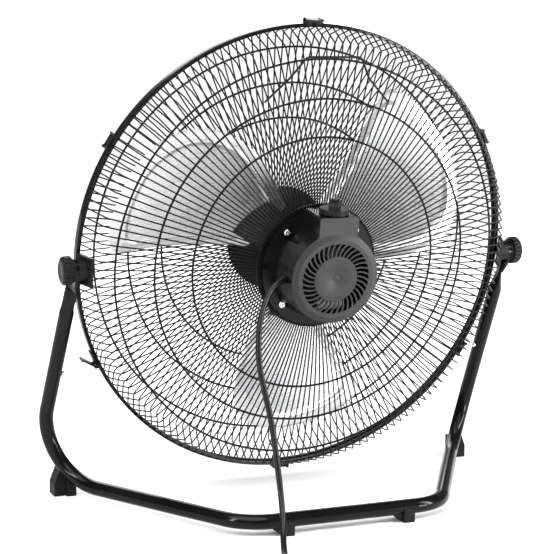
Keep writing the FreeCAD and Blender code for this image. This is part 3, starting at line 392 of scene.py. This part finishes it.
def blade_aluminium():
    """Rolled aluminium sheet: fine grain along the roll, faint clouding, soft shine."""
    material = new_material("blade_aluminium", Metallic=0.9, Specular_IOR_Level=0.5)
    vary_colour(material, surface_noise(material, 18, 4), (0.70, 0.705, 0.71),
                (0.80, 0.805, 0.81), 0.3, 0.7)
    vary_roughness(material, surface_noise(material, 90, 6, (1, 1, 9)), 0.24, 0.36)
    add_bump(material, surface_noise(material, 500, 4, (0.4, 1, 9)), 0.18, 0.00006)
    add_bump(material, surface_noise(material, 26, 2), 0.12, 0.0006)
    return material


def black_steel():
    material = new_material("black_steel", Specular_IOR_Level=0.2)
    vary_colour(material, surface_noise(material, 60, 5), (0.008, 0.008, 0.0085),
                (0.020, 0.020, 0.021))
    vary_roughness(material, surface_noise(material, 200, 4), 0.32, 0.5)
    add_bump(material, surface_noise(material, 800, 3), 0.2, 0.0001)
    return material


def lead_sheath():
    """Black PVC sheath: satin, with a faint lengthways drag and small scuffs."""
    material = new_material("lead_sheath", Specular_IOR_Level=0.22)
    vary_colour(material, surface_noise(material, 110, 5), (0.003, 0.003, 0.0032),
                (0.009, 0.009, 0.0095), 0.4, 0.75)
    vary_roughness(material, surface_noise(material, 260, 5), 0.24, 0.38)
    add_bump(material, surface_noise(material, 900, 3), 0.2, 0.0001)
    return material


def tie_plastic():
    material = new_material("tie_plastic", Sheen_Weight=0.4, Specular_IOR_Level=0.3)
    vary_colour(material, surface_noise(material, 700, 3), (0.008, 0.008, 0.008),
                (0.028, 0.028, 0.028))
    vary_roughness(material, surface_noise(material, 500, 4), 0.6, 0.8)
    add_bump(material, surface_noise(material, 2200, 2), 0.5, 0.0002)
    return material


def plug_plastic():
    material = new_material("plug_plastic", Specular_IOR_Level=0.45)
    vary_colour(material, surface_noise(material, 80, 4), (0.009, 0.009, 0.0095),
                (0.017, 0.017, 0.018))
    vary_roughness(material, surface_noise(material, 300, 4), 0.3, 0.46)
    add_bump(material, surface_noise(material, 1300, 2), 0.2, 0.00008)
    return material


def plug_pin_metal():
    material = new_material("plug_pin_metal", Metallic=1.0)
    vary_colour(material, surface_noise(material, 300, 4), (0.58, 0.57, 0.55),
                (0.78, 0.77, 0.74))
    vary_roughness(material, surface_noise(material, 800, 4, (1, 6, 1)), 0.12, 0.26)
    add_bump(material, surface_noise(material, 2000, 2), 0.15, 0.00003)
    return material


FINISHES = {make.__name__: make() for make in (
    gloss_black_paint, black_wire, black_badge, black_rubber, black_plastic, housing_plastic,
    cap_plastic, dark_casting, bright_zinc, brass, steel, copper, grey_plastic, blade_aluminium,
    black_steel, lead_sheath, tie_plastic, plug_plastic, plug_pin_metal)}


def dress_cad_nodes():
    """Every CAD node gets the material of its slot."""
    for row in frame["record"]["subparts"]:
        mesh = frame["nodes"][row["node"]].data
        for index in range(len(mesh.materials)):
            mesh.materials[index] = FINISHES[row["material_slot"]]


# ---------------------------------------------------------------- mains lead

LEAD_DIAMETER = 0.007
GLAND_AXIS = Vector((10, 2, -6))
HANGING = [(60, 55.5, 282), (70, 57.5, 276), (79, 62.5, 266.5), (87, 69.5, 254),
           (93.5, 76, 239), (97.5, 82, 219), (99, 89, 192), (96, 98, 165), (92, 109, 136),
           (91, 120, 107), (90.5, 130, 79), (91, 141, 53), (94, 155, 30), (101, 173, 12.5),
           (109, 195, 3.6), (113, 209, 3.6)]
ON_FLOOR = [(117, 223, 3.6), (122, 246, 3.6), (123, 266, 4.0), (123, 286, 4.6)]
COIL_CENTRE = (165, 303)
TAIL = [(183, 345, 18.6), (204, 346, 18.9), (224, 349, 19.0)]
PLUG_AXIS = Vector((20, 3, 0.1))
COIL_STEPS = 16
COIL_TURNS = 4.25
OUTER_TURN = 42.0
INNER_TURN = 35.0
LAYERS = (4.6, 11.6, 18.6)
# Degrees round the coil where the lead moves inwards, outwards and up to each further layer.
MOVES_IN = 315
MOVES_OUT = 895
CLIMBS = (600, 1200)
HALF_MOVE = 30


def between(start, end, here):
    """0 before start, 1 after end, and an even slope between them."""
    return min(max((here - start) / (end - start), 0), 1)


def coil_points():
    """Four and a quarter turns, clockwise: a lower layer inwards, then two layers outwards."""
    points = []
    widen = 1 / math.cos(math.pi / COIL_STEPS)
    for step in range(int(COIL_TURNS * COIL_STEPS) + 1):
        turned_by = step * 360 / COIL_STEPS

        def moved(middle):
            return between(middle - HALF_MOVE, middle + HALF_MOVE, turned_by)

        radius = OUTER_TURN + (INNER_TURN - OUTER_TURN) * (moved(MOVES_IN) - moved(MOVES_OUT))
        height = (LAYERS[0] + (LAYERS[1] - LAYERS[0]) * moved(CLIMBS[0])
                  + (LAYERS[2] - LAYERS[1]) * moved(CLIMBS[1]))
        angle = math.radians(180 - turned_by)
        points.append((COIL_CENTRE[0] + radius * widen * math.cos(angle),
                       COIL_CENTRE[1] + radius * widen * math.sin(angle), height))
    return points


def route_curve(name, points, radius):
    """NURBS curve through the route; radius 0 gives the bare line."""
    curve = bpy.data.curves.new(name, "CURVE")
    curve.dimensions = "3D"
    spline = curve.splines.new("NURBS")
    spline.points.add(len(points) - 1)
    for knot, point in zip(spline.points, points):
        knot.co = (point[0] * MM, point[1] * MM, point[2] * MM, 1)
    spline.order_u = 3
    spline.use_endpoint_u = True
    spline.resolution_u = 6
    curve.bevel_depth = radius
    curve.bevel_resolution = 6
    curve.use_fill_caps = radius > 0
    return curve


def mesh_of(curve):
    """Mesh of a curve, in its order along the line."""
    holder = bpy.data.objects.new("holder", curve)
    bpy.context.scene.collection.objects.link(holder)
    bpy.context.view_layer.update()
    mesh = bpy.data.meshes.new_from_object(holder)
    bpy.data.objects.remove(holder)
    return mesh


def add_mains_lead():
    """One smooth lead: gland, hanging stretch, floor, coil and tail."""
    points = HANGING + ON_FLOOR + coil_points() + TAIL
    line = [tuple(vertex.co) for vertex in mesh_of(route_curve("lead_line", points, 0)).vertices]
    mesh = mesh_of(route_curve("mains_lead", points, LEAD_DIAMETER / 2))
    mesh.name = "mains_lead"
    for face in mesh.polygons:
        face.use_smooth = True
    lead = bpy.data.objects.new("mains_lead", mesh)
    bpy.context.scene.collection.objects.link(lead)
    lead.data.materials.clear()
    lead.data.materials.append(FINISHES["lead_sheath"])
    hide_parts("cord_hanging", "cord_on_floor", "cord_coil", "cord_tail")
    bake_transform(lead)
    add_plug()
    add_plug_pins()
    add_coil_tie()


def add_plug():
    """Round two-pin moulded plug with grip ridges and a ribbed neck."""
    place = facing(Vector(TAIL[-1]) * MM, PLUG_AXIS)
    neck_ribs = 5
    rib_pitch = 2.6
    groove_depth = 1.1
    grip_ridges = 60
    ridge_depth = 0.7
    neck = [(3.6, 0.0)]
    for rib in range(neck_ribs):
        radius = 5.0 + rib * 0.35
        start = rib * rib_pitch
        neck += [(radius, start + 0.3), (radius, start + 1.6),
                 (radius - groove_depth, start + 1.9), (radius - groove_depth, start + 2.6)]
    body = smooth_outline([Vector(pair) for pair in (
        (6.2, 13.4), (8.0, 15.2), (12.4, 18.0), (16.4, 21.4), (18.0, 25.5), (18.2, 32.0),
        (18.3, 37.6))], 4)
    front = [(17.9, 38.9), (17.0, 39.6), (13.0, 39.6), (12.6, 39.2), (0.01, 39.2)]
    outline = neck + [tuple(pair) for pair in body] + front

    def ridges(radius, height, turn):
        grip = between(20, 24, height) * (1 - between(34, 37, height))
        side = max(0.0, abs(math.cos(turn)) - 0.75) / 0.25
        return radius - ridge_depth * grip * side * (0.5 + 0.5 * math.cos(turn * grip_ridges))

    mesh = turned("plug", outline, 180, place, ridges)
    return new_object("plug", sharpen(mesh, 38), "stand", "plug_plastic", "plug_body")


def add_plug_pins():
    """Round pins with insulating sleeves at their root and rounded tips."""
    root = facing(Vector(TAIL[-1]) * MM, PLUG_AXIS)
    spread = 9.5
    outline = [(2.38, 39.3), (2.38, 49.0), (2.2, 49.3), (2.3, 49.4), (2.3, 56.6), (2.0, 58.0),
               (1.2, 58.8), (0.01, 59.0)]
    across = root.to_3x3() @ Vector((1, 0, 0))
    pins = []
    for side in (-1, 1):
        place = Matrix.Translation(across * spread * side * MM) @ root
        pins.append(turned("pin", outline, 32, place))
    mesh = joined("plug_contact_pins", pins)
    return new_object("plug_contact_pins", sharpen(mesh, 35), "stand", "plug_pin_metal",
                      "plug_pins")


def add_coil_tie():
    """Woven strap round the coil: a closed band with rounded corners."""
    low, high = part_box("coil_tie")
    middle = (low + high) / 2
    half = (high - low) / 2
    thick = 0.0009
    corner = 0.003
    corner_steps = 6
    points = []
    faces = []
    across = []
    for quarter, (sx, sz) in enumerate(((1, 1), (-1, 1), (-1, -1), (1, -1))):
        for step in range(corner_steps + 1):
            turn = math.pi / 2 * (quarter + step / corner_steps)
            across.append((sx * (half.x - corner) + corner * math.cos(turn),
                           sz * (half.z - corner) + corner * math.sin(turn)))
    rows = ((-1, 0), (1, 0), (1, 1), (-1, 1))
    for x, z in across:
        out = Vector((x, 0, z)).normalized()
        for side, inner in rows:
            points.append(middle + Vector((x, side * half.y, z)) - out * thick * inner)
    count = len(across)
    for step in range(count):
        after = (step + 1) % count
        for row in range(4):
            following = (row + 1) % 4
            faces.append((step * 4 + row, step * 4 + following, after * 4 + following,
                          after * 4 + row))
    mesh = mesh_from("lead_tie", points, faces)
    return new_object("lead_tie", sharpen(mesh, 50), "stand", "tie_plastic", "coil_tie")


def add_strain_relief():
    """Tapered boot with ring grooves that grips the lead where it leaves the housing."""
    place = facing(Vector(HANGING[0]) * MM, GLAND_AXIS)
    outline = [(0.01, -17.0), (7.5, -17.0), (7.5, -9.6), (6.6, -9.0)]
    for ring in range(3):
        start = -8.4 + ring * 2.8
        radius = 5.6 - ring * 0.3
        outline += [(radius, start), (radius, start + 1.7), (radius - 0.6, start + 1.9),
                    (radius - 0.6, start + 2.6)]
    outline += [(4.7, 0.0), (4.3, 3.2), (4.1, 4.0), (3.55, 4.4)]
    mesh = turned("strain_relief_boot", outline, 48, place)
    new_object("strain_relief_boot", sharpen(mesh, 35), "head", "black_plastic",
               "strain_relief")


# ---------------------------------------------------------------- hoop and rear cap

def add_rim_band():
    """Hoop round the guards: a rolled channel with rounded corners, open inwards."""
    low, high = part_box("rim_band")
    outside = (high.x - low.x) / 2 / MM
    front = -25.3
    rear = -12.9
    corner = 1.4
    corner_steps = 8
    sheet = 0.9
    lip_edge = outside - 4.4

    def face_of_sheet(inset):
        """From the rear lip over both corners to the front lip."""
        line = [(lip_edge, rear - inset)]
        for middle, start in ((rear - corner, 90), (front + corner, 0)):
            for step in range(corner_steps + 1):
                turn = math.radians(start - step * 90 / corner_steps)
                line.append((outside - corner + (corner - inset) * math.cos(turn),
                             middle + (corner - inset) * math.sin(turn)))
        return line + [(lip_edge, front + inset)]

    outer = face_of_sheet(0)
    outline = outer + face_of_sheet(sheet)[::-1] + outer[:1]
    mesh = turned("rolled_hoop", outline, 360, facing(DISC, REARWARD))
    new_object("rolled_hoop", sharpen(mesh, 50), "head", "gloss_black_paint", "rim_band")


def add_cap_centre():
    """Raised disc in the middle of the rear cap: stepped rim, faint ring and a dimple."""
    outline = [(26.3, -0.3), (26.3, 0.3), (25.9, 0.6), (23.6, 0.6), (23.3, 0.35), (22.9, 0.35),
               (22.6, 0.6), (4.4, 0.6), (4.1, 0.45), (3.8, 0.6), (2.0, 0.6), (1.6, 0.15),
               (0.01, 0.05)]
    mesh = turned("cap_centre", outline, 96, facing(head_place(0, 99.6, 0), REARWARD))
    new_object("cap_centre", sharpen(mesh, 30), "head", "cap_plastic")


# ---------------------------------------------------------------- blades

BLADE_ANGLES = (30, 150, 270)
BLADE_OUTLINE = [(50, -26), (105, -54), (155, -86), (194, -110), (216, -90), (230, -45),
                 (233, 0), (222, 40), (200, 66), (170, 78), (133, 77), (88, 60), (52, 40)]
BLADE_CENTRE = Vector((142, -8))
BLADE_THICKNESS = 1.4
BLADE_PITCH = 24.0
BLADE_AXIAL = -17.0
BLADE_REACH = 230.0
BLADE_CAMBER = 7.0
BLADE_HALF_WIDTH = 80.0
STEEPER_ROOT = 1.45


def blade_height(reach, across):
    """Axial place of the blade: pitch that eases towards the tip, and camber."""
    slope = math.tan(math.radians(BLADE_PITCH)) * (STEEPER_ROOT - reach / BLADE_REACH)
    return (BLADE_AXIAL + slope * across
            - BLADE_CAMBER * (1 - (across / BLADE_HALF_WIDTH) ** 2))


def pressed_rib(inwards):
    """Relief that follows the outline, 1 at the edge: a raised rib and a turned-down border."""
    rib_place = 0.83
    rib_width = 0.025
    rib_height = 2.4
    border_start = 0.86
    border_drop = 2.2
    crest = math.exp(-((inwards - rib_place) / rib_width) ** 2)
    border = between(border_start, 1.0, inwards)
    return rib_height * crest - border_drop * border ** 2


def blade_mesh(name, angle):
    """Sheet-metal blade with its rib, turned-down border and a true thickness."""
    corners = [Vector(pair) for pair in BLADE_OUTLINE]
    span_steps = 10
    root_steps = 12
    rows = 44
    edge_rounding = 0.45
    rim = smooth_outline(corners, span_steps)
    rim += [rim[-1].lerp(rim[0], step / root_steps) for step in range(1, root_steps)]
    grid = []
    for row in range(1, rows + 1):
        share = row / rows
        grid.append([BLADE_CENTRE + (place - BLADE_CENTRE) * share for place in rim])
    turn = math.radians(angle)
    points = []

    def add(place, back):
        axial = blade_height(place.x, place.y) + back
        x = place.x * math.cos(turn) - place.y * math.sin(turn)
        up = place.x * math.sin(turn) + place.y * math.cos(turn)
        points.append(head_place(x, axial, up))

    count = len(rim)
    faces = []
    for back in (0.0, BLADE_THICKNESS):
        start = len(points)
        add(BLADE_CENTRE, back)
        for row, ring in enumerate(grid, start=1):
            rib = pressed_rib(row / rows)
            rounding = edge_rounding if row == rows else 0.0
            for place in ring:
                add(place, back + rib + (rounding if back == 0 else -rounding))
        for step in range(count):
            after = (step + 1) % count
            faces.append((start, start + 1 + step, start + 1 + after))
            for row in range(rows - 1):
                low = start + 1 + row * count
                faces.append((low + step, low + after, low + count + after, low + count + step))
    front_rim = 1 + (rows - 1) * count
    back_rim = front_rim + 1 + rows * count
    for step in range(count):
        after = (step + 1) % count
        faces.append((front_rim + step, front_rim + after, back_rim + after, back_rim + step))
    return mesh_from(name, points, faces)


def add_blades():
    for number, angle in enumerate(BLADE_ANGLES, start=1):
        mesh = sharpen(blade_mesh(f"pressed_blade_{number}", angle), 50)
        new_object(f"pressed_blade_{number}", mesh, "rotor", "blade_aluminium",
                   f"blade_{number}")


# ---------------------------------------------------------------- knobs

def add_tilt_knob(label, side):
    """Domed clamp knob with eighteen flutes and a waisted collar."""
    flute_count = 18
    flute_depth = 1.15
    low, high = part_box(f"{label}_tilt_knob")
    inner = low.x if side > 0 else high.x
    length = (high.x - low.x) / MM
    place = facing(Vector((inner, PIVOT.y, PIVOT.z)), Vector((side, 0, 0)))
    skirt = [(3.0, 0.0), (13.2, 0.0), (13.6, 0.4), (13.6, 2.3), (15.6, 2.9), (16.9, 4.0)]
    dome = smooth_outline([Vector(pair) for pair in (
        (17.0, 4.6), (17.0, length - 4.6), (16.2, length - 2.4), (14.2, length - 0.9),
        (11.2, length - 0.25), (8.4, length - 0.05))], 4)
    crown = [(7.9, length - 0.4), (7.2, length - 0.5), (0.01, length - 0.3)]
    outline = skirt + [tuple(pair) for pair in dome] + crown

    def flutes(radius, height, turn):
        depth = flute_depth * between(13.6, 16.0, radius) * between(2.0, 5.0, height)
        wave = 0.5 + 0.5 * math.cos(turn * flute_count)
        return radius - depth * wave ** 3

    mesh = turned(f"{label}_clamp_knob", outline, 216, place, flutes)
    new_object(f"{label}_clamp_knob", sharpen(mesh, 40), f"{label}_knob", "black_plastic",
               f"{label}_tilt_knob")


# ---------------------------------------------------------------- floor and light

def add_floor():
    """Large pale floor, a hair below the feet."""
    half = 1500.0
    gap = 0.0003
    mesh = mesh_from("floor", [(-half, -half, 0), (half, -half, 0), (half, half, 0),
                               (-half, half, 0)], [(0, 1, 2, 3)], False)
    floor = bpy.data.objects.new("floor", mesh)
    floor.location.z = -gap
    bpy.context.scene.collection.objects.link(floor)
    material = new_material("pale_floor", Roughness=0.9, Specular_IOR_Level=0.1)
    vary_colour(material, surface_noise(material, 0.7, 2), (0.86, 0.86, 0.86),
                (0.90, 0.90, 0.90))
    floor.data.materials.append(material)


def area_light(name, place, target, width, height, power):
    light = bpy.data.lights.new(name, "AREA")
    light.shape = "RECTANGLE"
    light.size = width
    light.size_y = height
    light.energy = power
    lamp = bpy.data.objects.new(name, light)
    bpy.context.scene.collection.objects.link(lamp)
    lamp.matrix_world = facing(Vector(place), Vector(place) - Vector(target))


def add_light():
    """Soft daylight from above, and softboxes round the fan."""
    world = bpy.data.worlds.new("studio")
    bpy.context.scene.world = world
    world.use_nodes = True
    background = world.node_tree.nodes["Background"]
    background.inputs["Color"].default_value = (1, 1, 1, 1)
    background.inputs["Strength"].default_value = 0.2
    sun = bpy.data.lights.new("overhead", "SUN")
    sun.energy = 3.6
    sun.angle = math.radians(60)
    lamp = bpy.data.objects.new("overhead", sun)
    bpy.context.scene.collection.objects.link(lamp)
    lamp.matrix_world = facing(Vector((0, 0, 5)), Vector((0.25, 0.35, 1)))
    middle = (0, 0, 0.3)
    area_light("left_softbox", (1.9, 0.9, 1.1), middle, 0.25, 1.6, 35)
    area_light("right_softbox", (-1.6, 1.2, 1.0), middle, 0.4, 1.6, 60)
    area_light("front_softbox", (-0.4, -2.0, 1.2), middle, 1.6, 1.2, 40)
    area_light("low_softbox", (-0.93, 1.26, 0.14), (-0.15, 0, 0.5), 0.38, 0.26, 12)
    bpy.context.scene.view_settings.view_transform = "Standard"


# ---------------------------------------------------------------- build

add_camera()
add_mains_lead()
add_strain_relief()
add_rim_band()
add_cap_centre()
add_blades()
add_tilt_knob("left", 1)
add_tilt_knob("right", -1)
dress_cad_nodes()
add_floor()
add_light()
